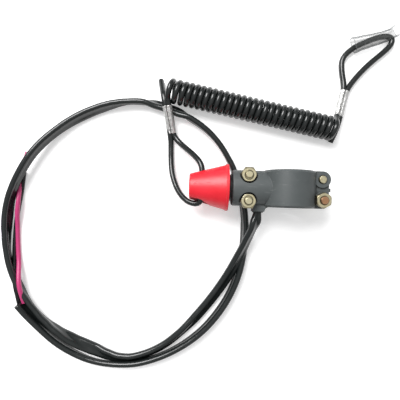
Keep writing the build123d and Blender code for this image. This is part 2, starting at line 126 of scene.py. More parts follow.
# %% A finish and its nodes
# A Mix node has sockets of the same name for numbers and colours, so its own go by number
MIX_SHARE, MIX_FIRST, MIX_SECOND, MIX_RESULT = 0, 6, 7, 2


class Finish:
    """A material with one Principled surface, and the nodes that vary it."""

    def __init__(self, name, **constants):
        self.material = bpy.data.materials.new(name)
        self.material.use_nodes = True
        self.tree = self.material.node_tree
        self.surface = self.tree.nodes["Principled BSDF"]
        self.set(**constants)

    @classmethod
    def of_world(cls, world):
        """The same helpers on the sky's own nodes."""
        sky = cls.__new__(cls)
        sky.tree, sky.surface = world.node_tree, world.node_tree.nodes["Background"]
        return sky

    def set(self, **values):
        """Numbers and signals for the surface's sockets, with _ for a space in a name."""
        for name, value in values.items():
            self.feed(self.surface.inputs[name.replace("_", " ")], value)

    def feed(self, socket, value):
        """Links a signal to a socket, or sets the socket to a number or colour."""
        if isinstance(value, Signal):
            self.tree.links.new(value.socket, socket)
        else:
            socket.default_value = value

    def node(self, kind, settings=None, inputs=None, output=0):
        """A node of a kind, with its settings first and then what enters its sockets."""
        made = self.tree.nodes.new(kind)
        for name, value in (settings or {}).items():
            setattr(made, name, value)
        for socket, value in (inputs or {}).items():
            self.feed(made.inputs[socket], value)
        return Signal(self, made.outputs[output])

    def place(self, kind="Object"):
        """Where a point is on the part, in metres, or where the sky is looked at."""
        return self.node("ShaderNodeTexCoord", output=kind)

    def noise(self, scale, detail=3, vector=None):
        """A cloudy pattern from 0 to 1, with that many blotches a metre."""
        inputs = {"Vector": vector or self.place(), "Scale": scale, "Detail": detail}
        return self.node("ShaderNodeTexNoise", inputs=inputs)

    def span(self, value, low, high, to_low=0.0, to_high=1.0):
        """A value's reach from low to high, spread over to_low to to_high and held there."""
        inputs = {"Value": value, "From Min": low, "From Max": high,
                  "To Min": to_low, "To Max": to_high}
        return self.node("ShaderNodeMapRange", {"clamp": True}, inputs)

    def mixed(self, share, first, second):
        """One colour going over to another."""
        inputs = {MIX_SHARE: share, MIX_FIRST: first, MIX_SECOND: second}
        return self.node("ShaderNodeMix", {"data_type": "RGBA"}, inputs, output=MIX_RESULT)

    def maths(self, operation, *values):
        """A Math node on one, two or three numbers."""
        return self.node("ShaderNodeMath", {"operation": operation}, dict(enumerate(values)))

    def axes(self, point=None):
        """The x, y and z of a point as three numbers."""
        parts = self.node("ShaderNodeSeparateXYZ", inputs={0: point or self.place()})
        return [Signal(self, socket) for socket in parts.socket.node.outputs]


def rgb(red, green, blue):
    """A colour that nothing shines through."""
    return (red, green, blue, 1.0)


print("finish helpers ready")

# %% [markdown]
# ## The floor and the light
# The photograph has a white ground with faint grey shadows. The floor is a white surface
# that glows a little where the camera, a reflection or a clear piece looks at it, so its
# open ground is white and the shadows stay. One lamp from the upper left makes the long
# highlights on the cords. A sky that is brighter overhead than at the horizon fills the
# rest, because round black cords look grey at their edges under an even one.

# %% Floor
FLOOR_SIZE = 1.6
FLOOR_GAP = 0.08
FLOOR_GLOW = 0.36
PAPER_GREY, PAPER_ROUGH = 0.86, 0.9
WHITE = rgb(1.0, 1.0, 1.0)


def white_floor():
    """A sheet of white paper just under the part."""
    shape = bmesh.new()
    bmesh.ops.create_grid(shape, x_segments=1, y_segments=1, size=FLOOR_SIZE / 2)
    bmesh.ops.translate(shape, verts=shape.verts, vec=(0, 0, (FLOOR - FLOOR_GAP) * MM))
    mesh = bpy.data.meshes.new("white_floor")
    shape.to_mesh(mesh)
    shape.free()
    floor = bpy.data.objects.new("white_floor", mesh)
    scene.collection.objects.link(floor)
    paper_colour = rgb(PAPER_GREY, PAPER_GREY, PAPER_GREY)
    paper = Finish("white_paper", Base_Color=paper_colour, Roughness=PAPER_ROUGH)
    ray = {name: paper.node("ShaderNodeLightPath", output=name)
           for name in ("Is Camera Ray", "Is Glossy Ray", "Is Transmission Ray")}
    seen = ray["Is Camera Ray"] + ray["Is Glossy Ray"] + ray["Is Transmission Ray"]
    paper.set(Emission_Color=WHITE, Emission_Strength=seen * FLOOR_GLOW)
    mesh.materials.append(paper.material)


white_floor()
print("floor of", FLOOR_SIZE, "m in place")

# %% Sky and lamp
SKY_HIGH, SKY_LOW = 0.66, 0.2
LAMP_AT = (-0.34, 0.42, 0.62)
LAMP_AIM = (-0.045, -0.01, 0.0)
LAMP_SIZE = 0.52
LAMP_POWER = 9.0


def sky_and_lamp():
    """A sky that the camera sees as white, and a round lamp aimed at the switch."""
    world = bpy.data.worlds.new("studio")
    scene.world = world
    world.use_nodes = True
    sky = Finish.of_world(world)
    height = sky.node("ShaderNodeSeparateXYZ", inputs={0: sky.place("Generated")}, output="Z")
    glow = sky.span(height, 0.0, 1.0, SKY_LOW, SKY_HIGH)
    seen = sky.node("ShaderNodeLightPath", output="Is Camera Ray")
    sky.set(Color=WHITE, Strength=seen + (1 - seen) * glow)
    data = bpy.data.lights.new("soft_lamp", "AREA")
    data.shape = "DISK"
    data.size = LAMP_SIZE
    data.energy = LAMP_POWER
    lamp = bpy.data.objects.new("soft_lamp", data)
    lamp.location = LAMP_AT
    aim = Vector(LAMP_AIM) - Vector(LAMP_AT)
    lamp.rotation_euler = aim.to_track_quat("-Z", "Y").to_euler()
    scene.collection.objects.link(lamp)


sky_and_lamp()
print("lamp of", LAMP_SIZE, "m and", LAMP_POWER, "W in place")

# %% [markdown]
# ## The cords
# Three kinds of cord leave the switch: the flat two-wire cable, the two thin wires that come
# out of its cut end, and the lanyard's round cord. Each one is drawn as a smooth curve that
# is pulled towards a few route points, as a limp cord lies on a table. The points are x, y
# and height above the floor. They start from the CAD model's, and many are moved a little,
# because the CAD's plain tubes don't lie quite as the photograph's cords do. The wires' and
# the lanyard's points are moved one by one. The cable's x and y are not: a fitting script
# drew its curve to the middle of the cable in the photograph, and two points were moved by
# hand after that. Its heights were chosen one by one.

# %% Routes
OUTLET_X = -15.8
CABLE_START_Y, CABLE_EXIT_Y, CABLE_BEND_Y = -8.85, -11.85, -15.45
CORD_HOLE_X = -45.1
CABLE_R, WIRE_R, CORD_R = 2.0, 1.2, 1.56
CABLE_ROUTE = [
    (OUTLET_X, CABLE_START_Y, AXIS_HEIGHT), (OUTLET_X, CABLE_BEND_Y, AXIS_HEIGHT),
    (-18.2, -22.1, 10.2),
    (-21.2, -30.2, 7.1), (-24.8, -39.1, 5.6), (-30.5, -50.3, 2.8), (-38.7, -62.5, 2.0),
    (-50.5, -76.7, 2.0), (-66.1, -90.2, 2.0), (-86.1, -96.4, 2.0), (-104.4, -90.6, 2.0),
    (-120.3, -82.4, 2.0), (-135.0, -71.3, 2.0), (-144.2, -57.1, 2.0), (-151.0, -42.0, 2.0),
    (-151.8, -26.0, 2.0), (-150.3, -12.7, 3.4), (-147.0, -2.4, 4.9), (-142.1, 8.0, 5.0),
    (-136.7, 16.9, 4.6), (-129.1, 25.8, 2.8), (-116.9, 35.3, 2.0), (-101.0, 42.8, 2.0),
    (-84.5, 47.0, 2.0), (-67.4, 44.3, 2.0), (-52.4, 38.2, 2.0), (-38.8, 28.6, 2.0),
    (-29.3, 14.4, 2.0), (-23.4, -1.7, 2.0), (-20.6, -17.1, 2.0), (-21.0, -33.4, 2.0),
    (-23.9, -49.4, 2.0), (-31.5, -65.7, 2.0), (-44.3, -81.3, 2.0), (-62.3, -93.1, 2.0),
    (-81.8, -99.0, 2.0), (-101.9, -98.2, 2.0), (-120.5, -89.3, 2.0), (-134.0, -77.1, 2.0),
    (-139.9, -70.6, 3.0), (-142.8, -66.5, 3.9),
]
PINK_ROUTE = [
    (-140.3, -66.0, 4.4), (-141.1, -61.6, 5.8), (-142.2, -56.8, 6.4), (-143.3, -51.8, 5.2),
    (-144.9, -44.8, 2.0), (-145.9, -38.3, 1.2), (-146.4, -31.0, 1.2), (-146.5, -24.1, 1.6),
    (-145.9, -16.6, 3.8), (-145.2, -9.4, 4.2), (-146.0, -1.4, 1.5), (-145.6, 5.6, 1.2),
    (-142.5, 16.8, 1.2),
]
BLACK_ROUTE = [
    (-143.2, -67.3, 3.6), (-143.6, -62.2, 5.0), (-144.5, -57.4, 5.9), (-145.9, -52.4, 4.6),
    (-147.7, -45.4, 1.4), (-148.0, -38.4, 1.2), (-147.9, -31.0, 1.2), (-147.6, -23.8, 1.2),
    (-146.8, -15.6, 1.2), (-145.4, -7.4, 1.2), (-144.6, -0.6, 1.2), (-144.1, 5.6, 1.2),
]
CAP_CRIMP_THERE = [(-66.55, 46.35, 8.9), (-63.0, 27.05, 1.8)]
CAP_CRIMP_BACK = [(-61.3, 28.0, 2.1), (-61.95, 31.4, 3.3), (-64.75, 46.75, 8.9)]
END_CRIMP_THERE = [(26.7, 39.6, 5.8), (28.3, 45.0, 4.6), (30.35, 52.0, 3.15), (32.2, 58.3, 1.8)]
END_CRIMP_BACK = [(34.0, 57.8, 1.8), (32.3, 52.0, 2.95), (30.1, 44.5, 4.4), (28.3, 38.5, 5.6)]
CAP_LOOP_ROUTE = [
    (-69.4, 58.6, 1.6), (-68.1, 52.6, 5.0), *CAP_CRIMP_THERE,
    (-62.8, 21.4, 1.6), (-62.6, 15.4, 1.7), (-62.0, 8.6, 2.8), (-60.0, 1.9, 5.2),
    (-56.6, -4.3, 8.6), (-51.4, -8.8, 12.2), (CORD_HOLE_X, -8.9, AXIS_HEIGHT),
    (CORD_HOLE_X, 0.4, AXIS_HEIGHT + 0.2), (CORD_HOLE_X, 9.8, AXIS_HEIGHT), (-46.6, 13.2, 12.5),
    (-49.5, 16.6, 9.9), (-53.4, 20.2, 6.5), (-58.0, 24.2, 3.1), *CAP_CRIMP_BACK,
]
END_LOOP_ROUTE = [
    *END_CRIMP_THERE, (30.4, 67.0, 1.6), (30.3, 74.2, 1.6),
    (36.0, 79.9, 2.0), (43.4, 83.6, 2.2), (49.6, 86.1, 2.2), (54.6, 87.1, 2.2),
    (57.9, 85.7, 2.1), (57.3, 82.1, 1.9), (53.0, 77.8, 1.6), (47.5, 73.2, 1.6),
    (41.0, 66.8, 1.6), *END_CRIMP_BACK, (27.5, 32.6, 3.0),
    (25.3, 27.3, 1.7),
]
for route_name, route in (("cable", CABLE_ROUTE), ("pink wire", PINK_ROUTE),
                          ("black wire", BLACK_ROUTE), ("cap loop", CAP_LOOP_ROUTE),
                          ("end loop", END_LOOP_ROUTE)):
    print(route_name, "points", len(route))

# %% [markdown]
# ### The curly stretch
# The lanyard's middle is wound round a rod and baked, so it springs back into a coil. It is
# one cord with its straight ends, so its helix is made of more points of the same curve,
# sixteen a turn. A loop walks round the coil's axis and moves on by one pitch each turn.
# The first turns stand a little wider apart, and the last one goes over the top to the crimp.

# %% Points of the coil
COIL_START = Vector((-61.9, 51.3, -7.1))
COIL_ALONG = Vector((0.98, -0.199, 0.0))
COIL_ASIDE = Vector((0.199, 0.98, 0.0))
COIL_LINE_R = 5.15
POINTS_A_TURN = 16
COIL_TURNS = 27
COIL_LEAD_IN, COIL_LEAD_OUT = 6, 12
COIL_PITCH, FIRST_PITCH = 3.158, 3.4
COIL_OFFSET, FIRST_STRETCH, STRETCH_FADES = -0.9, 1.1, 0.83
LAST_OPENING = 0.24


def coil_points():
    """The helix from the first crimp's side to the second's, in drawing millimetres."""
    # A curve of order 3 stays inside its points by this share
    swing = COIL_LINE_R / (0.75 + 0.25 * math.cos(2 * math.pi / POINTS_A_TURN))
    points = []
    for step in range(-COIL_LEAD_IN, COIL_TURNS * POINTS_A_TURN + COIL_LEAD_OUT + 1):
        turn = step / POINTS_A_TURN
        along = COIL_OFFSET + turn * (COIL_PITCH if turn > 0 else FIRST_PITCH)
        along += FIRST_STRETCH * (1 - math.exp(-max(turn, 0) / STRETCH_FADES))
        along += LAST_OPENING * max(turn - COIL_TURNS, 0)
        angle = 2 * math.pi * turn
        aside = COIL_ASIDE * math.cos(angle) - UP * math.sin(angle)
        points.append(COIL_START + COIL_ALONG * along + aside * swing)
    return points


coil = coil_points()
print("coil points", len(coil))

# %% [markdown]
# ### Round cords
# A round cord is a NURBS curve with a round bevel, the shortest way to a smooth tube that
# stays editable. The order of the curve is set after its points, or Blender keeps it straight.

# %% Round cords
def route_curve(name, points, radius=0.0):
    """A smooth curve pulled towards points in metres."""
    curve = bpy.data.curves.new(name, "CURVE")
    curve.dimensions = "3D"
    spline = curve.splines.new("NURBS")
    spline.points.add(len(points) - 1)
    for point, where in zip(spline.points, points):
        point.co = (*where, 1.0)
        point.radius = radius
    spline.order_u = 3
    spline.use_endpoint_u = True
    piece = bpy.data.objects.new(name, curve)
    scene.collection.objects.link(piece)
    return piece


def round_cord(name, points, radius, steps, sides):
    """A cord of a radius in millimetres along points in metres, its ends capped."""
    # The bevel is one metre deep and each point scales it to the cord's radius, because
    # Blender's box of a curve is widened by its points' radius and not by the bevel
    piece = route_curve(name, points, radius * MM)
    piece.data.resolution_u = steps
    piece.data.bevel_depth = 1.0
    piece.data.bevel_resolution = sides
    piece.data.use_fill_caps = True
    return piece


CLOSING_STRAND = [(25.2, 36.9, 10.7)]
lanyard_points = [place(*p) for p in CAP_LOOP_ROUTE]
lanyard_points += [p * MM for p in coil]
lanyard_points += [place(*p) for p in CLOSING_STRAND + END_LOOP_ROUTE]
lanyard_cord = round_cord("lanyard_cord", lanyard_points, CORD_R, steps=4, sides=3)
pink_points = [place(*p) for p in PINK_ROUTE]
pink_wire = round_cord("pink_wire", pink_points, WIRE_R, steps=8, sides=4)
black_points = [place(*p) for p in BLACK_ROUTE]
black_wire = round_cord("black_wire", black_points, WIRE_R, steps=8, sides=4)
print("lanyard points", len(lanyard_points))

# %% [markdown]
# ### The flat cable
# The cable is a soft vinyl sleeve round two wires, so it is wider than it is thick, has a
# shallow valley between the wires and twists slowly as it lies. A curve's bevel can't twist
# at will, so this one is a ring that is extruded from point to point of the route's curve
# and turned a little each time. Most of the turns come from a fitting script, which tried
# angles until the section was as wide as the cable is in the photograph. They are changed
# where the cable leaves the housing, at the lower left, and under the first crimp, where the
# cap needs room.

# %% Section and twist of the cable
FLAT_WIDTH, FLAT_THICK, VALLEY = 6.8, 3.2, 0.3
LOBE_R = FLAT_THICK / 2
LOBE_OFF = FLAT_WIDTH / 2 - LOBE_R
RING_SIDES = 32
# Millimetres along the cable, and the degrees that its inner edge is raised there
CABLE_TWIST = [
    (0, 12), (4, 16), (14, 61), (20, 55), (34, 37), (70, 42), (84, 59), (115, 56),
    (121, 45), (129, 22), (139, -12), (149, -50), (159, -86), (168, -109), (176, -119),
    (182, -114), (191, -94), (211, -107), (221, -91), (225, -78), (231, -71), (251, -88),
    (284, -79), (304, -64), (314, -68), (320, -77), (324, -90), (330, -100), (337, -98),
    (346, -134), (357, -134), (366, -92), (384, -98), (394, -97), (401, -90), (431, -80),
    (435, -73), (481, -79), (536, -99), (556, -115), (612, -84),
]
# Millimetres along the cable, and how far its width is squeezed where it leaves the housing
OUTLET_SQUEEZE = [(0, 0.55), (3, 0.6), (10, 1.0)]
print("rows of twist", len(CABLE_TWIST))

# %% Values between the rows of a table, and a flat ring
def eased(table, at):
    """A value between the rows of a table, going over smoothly."""
    for (start, low), (end, high) in zip(table, table[1:]):
        if at <= end:
            share = (at - start) / (end - start)
            return low + (high - low) * share * share * (3 - 2 * share)
    return table[-1][1]


def oval_ring(shape, width, thick, valley, sides):
    """A ring across a flat sleeve: two round lobes with a shallow valley between them."""
    ring = bmesh.ops.create_circle(shape, segments=sides, radius=1.0)["verts"]
    lobe_r = thick / 2
    lobe_off = width / 2 - lobe_r
    for vert in ring:
        across = vert.co.x * width / 2
        over = abs(across) - lobe_off
        height = lobe_r - valley * (1 - (across / lobe_off) ** 2) ** 2
        if over > 0:
            height = math.sqrt(max(lobe_r ** 2 - over ** 2, 0.0))
        side = math.copysign(1.0, vert.co.y) if abs(vert.co.y) > 1e-6 else 0.0
        vert.co = Vector((across, height * side, 0.0)) * MM
    return shape.edges[:]


print("twist half way along", round(eased(CABLE_TWIST, 308.0)), "degrees")

# %% Walking along a curve
GUIDE_STEPS = 10


def curve_points(route):
    """The points that Blender works out along a route's smooth curve."""
    guide = route_curve("guide", route)
    guide.data.resolution_u = GUIDE_STEPS
    line = bpy.data.meshes.new_from_object(guide)
    points = [v.co.copy() for v in line.vertices]
    bpy.data.meshes.remove(line)
    bpy.data.objects.remove(guide)
    return points


def section_turn(wide, along):
    """The matrix that turns an upright section, its width along x, to lie across a line."""
    return Matrix((wide, along.cross(wide), along)).transposed().to_4x4()


def walked(points):
    """Each point with the direction there and the millimetres that lead up to it."""
    run = 0.0
    for i, point in enumerate(points):
        before, after = points[max(i - 1, 0)], points[min(i + 1, len(points) - 1)]
        run += (point - before).length / MM
        yield point, (after - before).normalized(), run


cable_line = curve_points([place(*p) for p in CABLE_ROUTE])
print("points along the cable", len(cable_line))

# %% Where each ring of the cable lies
def cable_frames(points):
    """For each point the matrix that puts the flat section there, lying on what it lay on."""
    frames = []
    for point, along, run in walked(points):
        angle = math.radians(eased(CABLE_TWIST, run))
        level = along.cross(UP).normalized()
        upright = level.cross(along)
        wide = level * math.cos(angle) + upright * math.sin(angle)
        lift = LOBE_R + LOBE_OFF * abs(math.sin(angle)) - CABLE_R
        middle = point + UP * (lift * MM)
        squeeze = Matrix.Diagonal((eased(OUTLET_SQUEEZE, run), 1.0, 1.0, 1.0))
        frames.append(Matrix.Translation(middle) @ section_turn(wide, along) @ squeeze)
    return frames


sleeve_frames = cable_frames(cable_line)
print("cable rings", len(sleeve_frames))

# %% Drawing a ring along a line
def finished_mesh(shape, name):
    """The bmesh as a smooth piece that stands at the origin, its faces pointing outwards."""
    bmesh.ops.recalc_face_normals(shape, faces=shape.faces)
    for face in shape.faces:
        face.smooth = True
    mesh = bpy.data.meshes.new(name)
    shape.to_mesh(mesh)
    shape.free()
    piece = bpy.data.objects.new(name, mesh)
    scene.collection.objects.link(piece)
    return piece


def next_ring(shape, ring, matrix):
    """Extrudes a ring of edges and moves the new one."""
    made = bmesh.ops.extrude_edge_only(shape, edges=ring)["geom"]
    verts = [part for part in made if isinstance(part, bmesh.types.BMVert)]
    bmesh.ops.transform(shape, matrix=matrix, verts=verts)
    return [part for part in made if isinstance(part, bmesh.types.BMEdge)]


def drawn_along(shape, ring, frames):
    """Lays a ring at the first frame and draws it through the others to the last ring."""
    bmesh.ops.transform(shape, matrix=frames[0], verts=shape.verts)
    for before, after in zip(frames, frames[1:]):
        ring = next_ring(shape, ring, after @ before.inverted())
    return ring


print("ring helpers ready")

# %% The cable's sleeve
SLEEVE_WALL = 0.45
SLEEVE_MOUTH = 5.0


def flat_cable():
    """The sleeve from the housing to its cut end, which is open for the two wires."""
    shape = bmesh.new()
    ring = oval_ring(shape, FLAT_WIDTH, FLAT_THICK, VALLEY, RING_SIDES)
    bmesh.ops.holes_fill(shape, edges=ring)
    ring = drawn_along(shape, ring, sleeve_frames)
    # The cut end is open, so the ring turns inwards and back down the sleeve
    last = sleeve_frames[-1]
    inset_wide = 1 - 2 * SLEEVE_WALL / FLAT_WIDTH
    inset_thick = 1 - 2 * SLEEVE_WALL / FLAT_THICK
    inset = Matrix.Diagonal((inset_wide, inset_thick, 1, 1))
    ring = next_ring(shape, ring, last @ inset @ last.inverted())
    step = (last.translation - sleeve_frames[-2].translation).length / MM
    back = sleeve_frames[-1 - round(SLEEVE_MOUTH / step)]
    ring = next_ring(shape, ring, back @ last.inverted())
    bmesh.ops.holes_fill(shape, edges=ring)
    return finished_mesh(shape, "flat_cable")


flat_cable_piece = flat_cable()
print("cable faces", len(flat_cable_piece.data.polygons))

# %% [markdown]
# ### The crimps
# Two aluminium sleeves are slid over the doubled cord and pressed flat, which grips it better
# than a knot would. A pressed sleeve is an oval tube with rounded rims and shallow marks of
# the tool's teeth. It's made upright as one ring that is drawn up in small steps, each a
# little thinner or thicker, and then turned into its place round the two strands.

# %% Pressed aluminium sleeves
CRIMP_WIDTH, CRIMP_THICK, CRIMP_DIP = 5.05, 3.6, 0.22
CRIMP_STEPS = 30
CRIMP_MARKS, MARK_DEPTH = 6, 0.025
RIM_ROUND, RIM_SEGMENTS = 0.22, 3


def lying_along(point, along):
    """The matrix that lays an upright piece at a point, level across its direction."""
    wide = along.cross(UP).normalized()
    return Matrix.Translation(point) @ section_turn(wide, along)


def pressed_sleeve(name, start, end):
    """A pressed sleeve between two points in metres, and the matrix that laid it there."""
    shape = bmesh.new()
    ring = oval_ring(shape, CRIMP_WIDTH, CRIMP_THICK, CRIMP_DIP, RING_SIDES)
    rims = list(ring)
    bmesh.ops.holes_fill(shape, edges=ring)
    pressed = []
    for step in range(CRIMP_STEPS + 1):
        share = step / CRIMP_STEPS
        press = 1 - MARK_DEPTH * (1 - math.cos(2 * math.pi * CRIMP_MARKS * share))
        raised = Matrix.Translation(UP * (share * (end - start).length))
        pressed.append(raised @ Matrix.Diagonal((1.0, press, 1.0, 1.0)))
    ring = drawn_along(shape, ring, pressed)
    bmesh.ops.holes_fill(shape, edges=ring)
    bmesh.ops.bevel(shape, geom=rims + ring, offset=RIM_ROUND * MM, segments=RIM_SEGMENTS,
                    profile=0.5, affect="EDGES", material=-1)
    laid = lying_along(start, (end - start).normalized())
    bmesh.ops.transform(shape, matrix=laid, verts=shape.verts)
    return finished_mesh(shape, name), laid


CAP_CRIMP_ENDS = [(-65.1, 43.4, 7.9), (-62.35, 29.6, 2.8)]
END_CRIMP_ENDS = [(32.4, 55.7, 2.3), (28.0, 40.9, 5.3)]
cap_ends = [place(*p) for p in CAP_CRIMP_ENDS]
end_ends = [place(*p) for p in END_CRIMP_ENDS]
cap_crimp, cap_crimp_laid = pressed_sleeve("crimp_at_cap", *cap_ends)
end_crimp, end_crimp_laid = pressed_sleeve("crimp_at_loop", *end_ends)
print("crimp faces", len(cap_crimp.data.polygons), len(end_crimp.data.polygons))

# %% [markdown]
# ### The clear sleeve
# A soft clear vinyl tube is slipped over the end loop, where it would rub the wrist. It has
# gone flat and wider at its left mouth, and its right mouth flares into a lip. The tube is
# drawn along a curve of its own, ring by ring, each ring scaled to the width seen there.
# A Solidify modifier gives it a real wall, so both mouths show a rim.

# %% Clear vinyl tube
TUBE_ROUTE = [(36.3, 81.25, 2.35), (41.1, 82.9, 2.35), (47.7, 84.8, 2.3), (53.1, 86.5, 2.3),
              (57.0, 88.3, 2.3), (59.7, 90.0, 2.5)]
# Millimetres along the tube, and its width and thickness there
TUBE_WIDTH = [(0.0, 8.9), (5.0, 7.9), (12.0, 7.0), (18.0, 6.4), (22.0, 6.0), (26.0, 6.7)]
TUBE_THICK = [(0.0, 4.5), (6.0, 4.3), (20.0, 4.0), (26.0, 4.4)]
TUBE_WALL = 0.35
TUBE_SIDES = 40


def clear_tube():
    """The tube round its own curve, with a wall that a modifier makes."""
    mouth_width, mouth_thick = TUBE_WIDTH[0][1], TUBE_THICK[0][1]
    frames = []
    for point, along, run in walked(curve_points([place(*p) for p in TUBE_ROUTE])):
        scale = Matrix.Diagonal((eased(TUBE_WIDTH, run) / mouth_width,
                                 eased(TUBE_THICK, run) / mouth_thick, 1.0, 1.0))
        frames.append(lying_along(point, along) @ scale)
    shape = bmesh.new()
    mouth = oval_ring(shape, mouth_width, mouth_thick, 0.0, TUBE_SIDES)
    drawn_along(shape, mouth, frames)
    piece = finished_mesh(shape, "clear_tube")
    wall = piece.modifiers.new("wall", "SOLIDIFY")
    wall.thickness = TUBE_WALL * MM
    wall.offset = -1.0
    return piece


vinyl_tube = clear_tube()
print("tube faces", len(vinyl_tube.data.polygons))

# %% [markdown]
# ### The body each piece rides on
# Each new piece rides on a body of the CAD model and takes the place of the plain solid that
# stood for it.

# %% Riding and replacing
for piece, body, nodes, slot in (
    (flat_cable_piece, "housing", ["cable_sleeve"], "cable_jacket"),
    (pink_wire, "housing", ["wire_pink"], "pink_wire"),
    (black_wire, "housing", ["wire_black"], "black_wire"),
    (lanyard_cord, "cap", ["lanyard_cap_loop", "lanyard_coil", "lanyard_end_loop"], "cord"),
    (cap_crimp, "cap", ["crimp_cap_end"], "crimp_aluminium"),
    (end_crimp, "cap", ["crimp_loop_end"], "crimp_aluminium"),
    (vinyl_tube, "cap", ["clear_sleeve"], "clear_vinyl"),
):
    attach(piece, body)
    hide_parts(*nodes)

# %% The free cords
print("cords laid")

# %% [markdown]
# ## Finishes: the shared patterns
# Four things make moulded and plated parts look real: edges painted paler, as wear and as a
# highlight where they catch the light, painted shade where pieces meet, a grain in the
# surface and a shine that isn't even. The Bevel node gives both a softened edge and, compared
# with the true normal, a mask of where the edges are. The Ambient Occlusion node finds the
# corners, which most finishes paint darker as shade and the small metal parts take as
# tarnish. Both stay put on the piece.

# %% Edges and corners
def soft_normal(finish, radius):
    """The surface's direction as if its edges were rounded by that many millimetres."""
    return finish.node("ShaderNodeBevel", {"samples": 4}, {"Radius": radius * MM})


def edge_mask(finish, radius):
    """1 along the edges and 0 on the flats."""
    true = finish.node("ShaderNodeNewGeometry", output="Normal")
    same = finish.node("ShaderNodeVectorMath", {"operation": "DOT_PRODUCT"},
                       {0: soft_normal(finish, radius), 1: true}, output="Value")
    return 1 - finish.span(same, 0.75, 0.995)


def corner_mask(finish, reach):
    """1 deep in the corners between pieces and 0 in the open."""
    open_air = finish.node("ShaderNodeAmbientOcclusion", {"samples": 6},
                           {"Distance": reach * MM}, output="AO")
    return 1 - finish.span(open_air, 0.25, 0.85)


print("masks ready")

# %% Streaks, ridges and relief
def stretched(finish, by, vector=None):
    """A place whose axes are scaled, so that a cloudy pattern on it turns into streaks."""
    return finish.node("ShaderNodeVectorMath", {"operation": "MULTIPLY"},
                       {0: vector or finish.place(), 1: by})


def streaks(finish, by, low, high, top=1.0, detail=3, vector=None):
    """Streaks from 0 to top, long along the axis with the smallest scale."""
    cloudy = finish.noise(1.0, detail, stretched(finish, by, vector))
    return finish.span(cloudy, low, high, to_high=top)


def ridges(finish, along, pitch):
    """Waves along an axis in metres, one for each pitch in millimetres."""
    return finish.maths("SINE", along * (2 * math.pi / (pitch * MM)))


def relief(finish, height, depth, normal=None):
    """A relief of that many millimetres, on softened edges where they are given."""
    inputs = {"Height": height, "Distance": depth * MM, "Strength": 1.0}
    if normal:
        inputs["Normal"] = normal
    finish.set(Normal=finish.node("ShaderNodeBump", inputs=inputs))


print("patterns ready")

# %% [markdown]
# ## Finishes of the cords
# The cable's sleeve and the lanyard are black vinyl and urethane, smooth enough to mirror the
# lamp in long thin lights. Their shine is a little uneven, and slow waves in the surface
# make those lights wander, as they do on an extruded cord that has been bent and handled.
# The waves could be modelled, but in the bump they cost no faces and are easy to scale.

# %% Cord finishes
def vinyl(name, colour, shine, gloss, wave):
    """Extruded plastic: fine cloudy shine, slow waves and a trace of dust."""
    finish = Finish(name, Specular_IOR_Level=shine)
    dust = finish.span(finish.noise(170.0, detail=4), 0.55, 0.85, to_high=0.25)
    pale = tuple(part * 0.8 + 0.03 for part in colour[:3]) + (1.0,)
    finish.set(Base_Color=finish.mixed(dust, colour, pale))
    cloudy = finish.span(finish.noise(420.0), 0.3, 0.7, gloss, gloss + 0.09)
    finish.set(Roughness=cloudy + dust * 0.3)
    waves = finish.noise(150.0, detail=1) + finish.noise(1500.0, detail=2) * 0.05
    relief(finish, waves, depth=wave)
    return finish.material


jacket_vinyl = vinyl("jacket_vinyl", rgb(0.011, 0.0135, 0.0135), shine=0.46, gloss=0.15, wave=0.16)
cord_urethane = vinyl("cord_urethane", rgb(0.010, 0.012, 0.012), shine=0.52, gloss=0.17, wave=0.06)
pink_vinyl = vinyl("pink_vinyl", rgb(0.50, 0.04, 0.165), shine=0.5, gloss=0.3, wave=0.05)
black_vinyl = vinyl("black_vinyl", rgb(0.009, 0.009, 0.010), shine=0.35, gloss=0.2, wave=0.05)
for piece, material in ((flat_cable_piece, jacket_vinyl), (lanyard_cord, cord_urethane),
                        (pink_wire, pink_vinyl), (black_wire, black_vinyl)):
    piece.data.materials.append(material)
print("cord finishes made")

# %% [markdown]
# ### Pressed aluminium
# The sleeves came out of the tool with pitted, dull grey faces, and the seam where the metal
# folds in between the strands is painted dark as shade. The pattern has to follow the sleeve,
# which lies askew, so a Mapping node turns object coordinates into the sleeve's own.

# %% Crimp finish
SEAM_AT, SEAM_WANDER = 0.45, 0.5
SEAM_CORE, SEAM_HALF = 0.096, 0.24
KNURL_PITCH = 1.05


def pressed_aluminium(name, laid):
    """Dull grey metal with pits, a knurl and painted shade along its seam, in the sleeve's own
    directions.
    """
    finish = Finish(name, Metallic=1.0)
    own = finish.node("ShaderNodeMapping", {"vector_type": "TEXTURE"},
                      {0: finish.place(), "Location": laid.translation,
                       "Rotation": laid.to_euler()})
    across, _, along = finish.axes(own)
    wander = (finish.noise(420.0, detail=2, vector=own) - 0.5) * (2 * SEAM_WANDER * MM)
    off_seam = finish.maths("ABSOLUTE", across - SEAM_AT * MM + wander)
    shaded_seam = 1 - finish.span(off_seam, SEAM_CORE * MM, SEAM_HALF * MM)
    rising = ridges(finish, along + across, KNURL_PITCH)
    knurl = rising * ridges(finish, along - across, KNURL_PITCH)
    pits = finish.span(finish.noise(2300.0, detail=2, vector=own), 0.52, 0.66)
    drawn = streaks(finish, (2600.0, 900.0, 380.0), 0.45, 0.7, vector=own)
    # The seam is painted dark as shade in the fold, over the metal's own pits and drawn lines
    pits_and_seam_shade = finish.maths("MAXIMUM", shaded_seam * 0.95, pits * 0.45 + drawn * 0.35)
    finish.set(Base_Color=finish.mixed(pits_and_seam_shade, rgb(0.70, 0.70, 0.69), rgb(0.07, 0.068, 0.062)))
    finish.set(Roughness=0.36 + pits * 0.2 + shaded_seam * 0.2)
    relief(finish, knurl * 0.3 - pits * 0.4 - shaded_seam * 1.2, depth=0.14)
    return finish.material


cap_crimp.data.materials.append(pressed_aluminium("pressed_aluminium_cap", cap_crimp_laid))
end_crimp.data.materials.append(pressed_aluminium("pressed_aluminium_loop", end_crimp_laid))
print("crimps finished")

